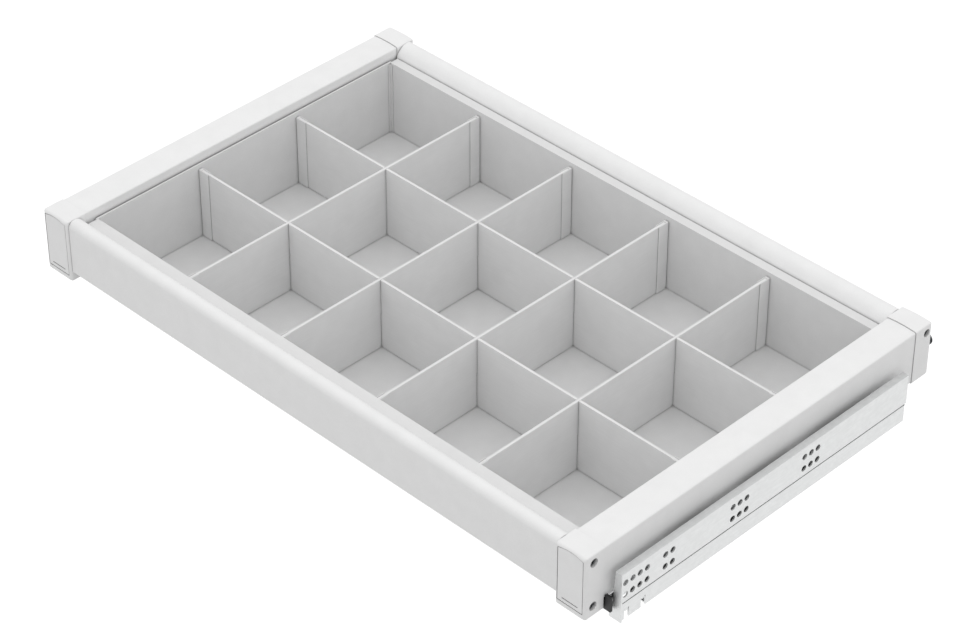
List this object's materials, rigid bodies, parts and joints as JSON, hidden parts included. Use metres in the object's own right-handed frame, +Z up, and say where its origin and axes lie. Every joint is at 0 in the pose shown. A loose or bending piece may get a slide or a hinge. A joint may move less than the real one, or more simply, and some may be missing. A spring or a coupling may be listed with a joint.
{
  "type": "pull-out organizer drawer",
  "caption": "White pull-out wardrobe frame on under-mounted telescopic runners, holding a lift-out tray that cross-halved dividers split into equal compartments.",
  "frame": {"origin": "midway between the two bracket plates and between the front and rear faces of the corner blocks, level with the tray's underside", "axes": "+X to the right along the drawer's width, +Y to the rear (the drawer opens along -Y), +Z up"},
  "size_m": [0.764, 0.4815, 0.1021],
  "materials": {
    "rail_paint": "smooth white powder coat",
    "block_plastic": "white moulded, satin",
    "tray_plastic": "white sheet, matte",
    "divider_plastic": "white extruded, satin",
    "screw_steel": "black oxide",
    "catch_plastic": "black moulded, fine texture",
    "cage_steel": "rolled strip",
    "ball_steel": "polished",
    "stop_rubber": "matte",
    "runner_steel": "zinc plated, matte grey"
  },
  "bodies": {
    "cabinet_side": {"left_cabinet_bracket": "runner_steel", "left_fixed_track": "runner_steel", "left_rear_stop": "stop_rubber", "right_cabinet_bracket": "runner_steel", "right_fixed_track": "runner_steel", "right_rear_stop": "stop_rubber"},
    "drawer": {"back_rail": "rail_paint", "front_end_screws": "screw_steel", "front_rail": "rail_paint", "left_back_corner_block": "block_plastic", "left_catch_body": "catch_plastic", "left_catch_pin": "screw_steel", "left_drawer_member": "runner_steel", "left_front_corner_block": "block_plastic", "left_front_cover": "block_plastic", "left_member_screws": "screw_steel", "left_rear_bracket": "runner_steel", "left_side_rail": "rail_paint", "rail_side_screws": "screw_steel", "rear_clamp_screws": "screw_steel", "right_back_corner_block": "block_plastic", "right_catch_body": "catch_plastic", "right_catch_pin": "screw_steel", "right_drawer_member": "runner_steel", "right_front_corner_block": "block_plastic", "right_front_cover": "block_plastic", "right_member_screws": "screw_steel", "right_rear_bracket": "runner_steel", "right_side_rail": "rail_paint"},
    "tray": {"tray_back_wall": "tray_plastic", "tray_base": "tray_plastic", "tray_corner_strips": "tray_plastic", "tray_front_wall": "tray_plastic", "tray_left_wall": "tray_plastic", "tray_right_wall": "tray_plastic"},
    "divider_grid": {"back_divider_clips": "divider_plastic", "back_long_divider": "divider_plastic", "cross_divider_1": "divider_plastic", "cross_divider_2": "divider_plastic", "cross_divider_3": "divider_plastic", "cross_divider_4": "divider_plastic", "front_divider_clips": "divider_plastic", "front_long_divider": "divider_plastic", "left_divider_clips": "divider_plastic", "right_divider_clips": "divider_plastic"},
    "left_intermediate": {"left_intermediate_member": "runner_steel"},
    "left_outer_cage": {"left_outer_balls": "ball_steel", "left_outer_cage": "cage_steel"},
    "left_inner_cage": {"left_inner_balls": "ball_steel", "left_inner_cage": "cage_steel"},
    "left_catch_lever": {"left_catch_lever": "catch_plastic"},
    "right_intermediate": {"right_intermediate_member": "runner_steel"},
    "right_outer_cage": {"right_outer_balls": "ball_steel", "right_outer_cage": "cage_steel"},
    "right_inner_cage": {"right_inner_balls": "ball_steel", "right_inner_cage": "cage_steel"},
    "right_catch_lever": {"right_catch_lever": "catch_plastic"}
  },
  "joints": [
    {"name": "drawer_slide", "type": "slide", "parent": "cabinet_side", "child": "drawer", "axis": [0, -1, 0], "range_m": [0, 0.39]},
    {"name": "left_intermediate_slide", "type": "slide", "parent": "cabinet_side", "child": "left_intermediate", "axis": [0, -1, 0], "range_m": [0, 0.195]},
    {"name": "left_outer_cage_slide", "type": "slide", "parent": "cabinet_side", "child": "left_outer_cage", "axis": [0, -1, 0], "range_m": [0, 0.0975]},
    {"name": "left_inner_cage_slide", "type": "slide", "parent": "cabinet_side", "child": "left_inner_cage", "axis": [0, -1, 0], "range_m": [0, 0.2925]},
    {"name": "left_catch_hinge", "type": "hinge", "parent": "drawer", "child": "left_catch_lever", "pos_m": [-0.3498, -0.209, 0.027], "axis": [1, 0, 0], "range_deg": [0, 25]},
    {"name": "right_intermediate_slide", "type": "slide", "parent": "cabinet_side", "child": "right_intermediate", "axis": [0, -1, 0], "range_m": [0, 0.195]},
    {"name": "right_outer_cage_slide", "type": "slide", "parent": "cabinet_side", "child": "right_outer_cage", "axis": [0, -1, 0], "range_m": [0, 0.0975]},
    {"name": "right_inner_cage_slide", "type": "slide", "parent": "cabinet_side", "child": "right_inner_cage", "axis": [0, -1, 0], "range_m": [0, 0.2925]},
    {"name": "right_catch_hinge", "type": "hinge", "parent": "drawer", "child": "right_catch_lever", "pos_m": [0.3498, -0.209, 0.027], "axis": [1, 0, 0], "range_deg": [0, 25]},
    {"name": "tray_lift", "type": "slide", "parent": "drawer", "child": "tray", "axis": [0, 0, 1], "range_m": [0, 0.11]},
    {"name": "grid_lift", "type": "slide", "parent": "tray", "child": "divider_grid", "axis": [0, 0, 1], "range_m": [0, 0.09]}
  ],
  "couplings": [
    {"joint": "left_intermediate_slide", "follows": "drawer_slide", "ratio": 0.5},
    {"joint": "left_outer_cage_slide", "follows": "drawer_slide", "ratio": 0.25},
    {"joint": "left_inner_cage_slide", "follows": "drawer_slide", "ratio": 0.75},
    {"joint": "right_intermediate_slide", "follows": "drawer_slide", "ratio": 0.5},
    {"joint": "right_outer_cage_slide", "follows": "drawer_slide", "ratio": 0.25},
    {"joint": "right_inner_cage_slide", "follows": "drawer_slide", "ratio": 0.75}
  ]
}
